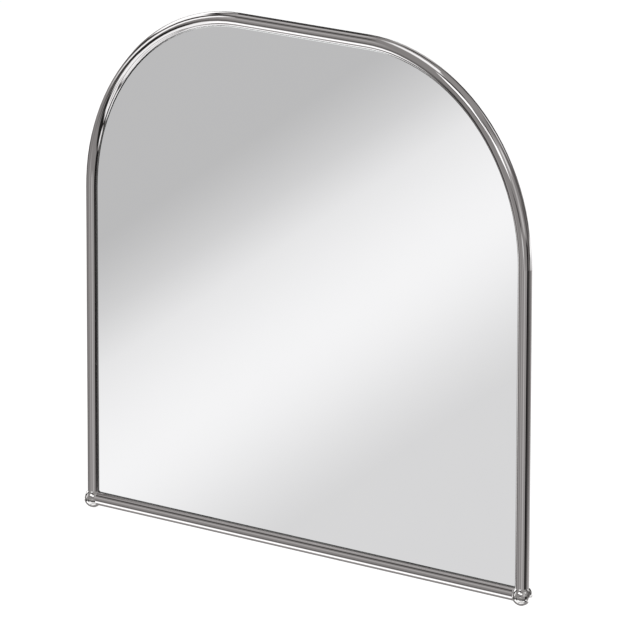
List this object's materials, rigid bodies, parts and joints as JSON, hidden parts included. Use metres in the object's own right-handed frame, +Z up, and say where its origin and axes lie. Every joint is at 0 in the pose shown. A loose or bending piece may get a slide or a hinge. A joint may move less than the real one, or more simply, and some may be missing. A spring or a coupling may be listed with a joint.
{
  "type": "arched wall mirror",
  "caption": "Arched bathroom mirror in a bent chrome tube frame with ball corners, hung on a folded wall cleat.",
  "frame": {"origin": "on the wall plane, at the centre of the wall cleat's row of screw holes", "axes": "+Z up, +X to the right of a person facing the mirror, +Y into the wall; the mirror faces -Y"},
  "size_m": [0.617, 0.0274, 0.5725],
  "materials": {
    "chromed_tube": "polished chrome plate on bent steel tube",
    "chromed_ball": "polished chrome plate on turned brass",
    "silvered_glass": "silvered float glass with polished edge",
    "film": "grey splinter film",
    "foam_tape": "white closed-cell foam tape",
    "board": "black moisture-proof fibre board",
    "rivet": "bright blind rivets",
    "black_steel": "black oxide",
    "bumper_rubber": "matt black rubber",
    "zinc_steel": "zinc-plated folded steel"
  },
  "bodies": {
    "wall_fixing": {"wall_cleat": "zinc_steel"},
    "mirror": {"arched_tube": "chromed_tube", "bottom_rail": "chromed_tube", "left_ball_connector": "chromed_ball", "right_ball_connector": "chromed_ball", "leg_grub_screws": "black_steel", "rail_grub_screws": "black_steel", "mirror_glass": "silvered_glass", "safety_film": "film", "foam_tape_strips": "foam_tape", "back_board": "board", "top_lug": "chromed_tube", "left_leg_lug": "chromed_tube", "right_leg_lug": "chromed_tube", "left_bend_lug": "chromed_tube", "right_bend_lug": "chromed_tube", "left_rail_lug": "chromed_tube", "right_rail_lug": "chromed_tube", "lug_rivets": "rivet", "hanging_rail": "chromed_tube", "hanging_rail_rivets": "rivet", "left_bumper": "bumper_rubber", "right_bumper": "bumper_rubber"}
  },
  "joints": [
    {"name": "mirror_lift", "type": "slide", "parent": "wall_fixing", "child": "mirror", "axis": [0, 0, 1], "range_m": [0, 0.012]}
  ]
}
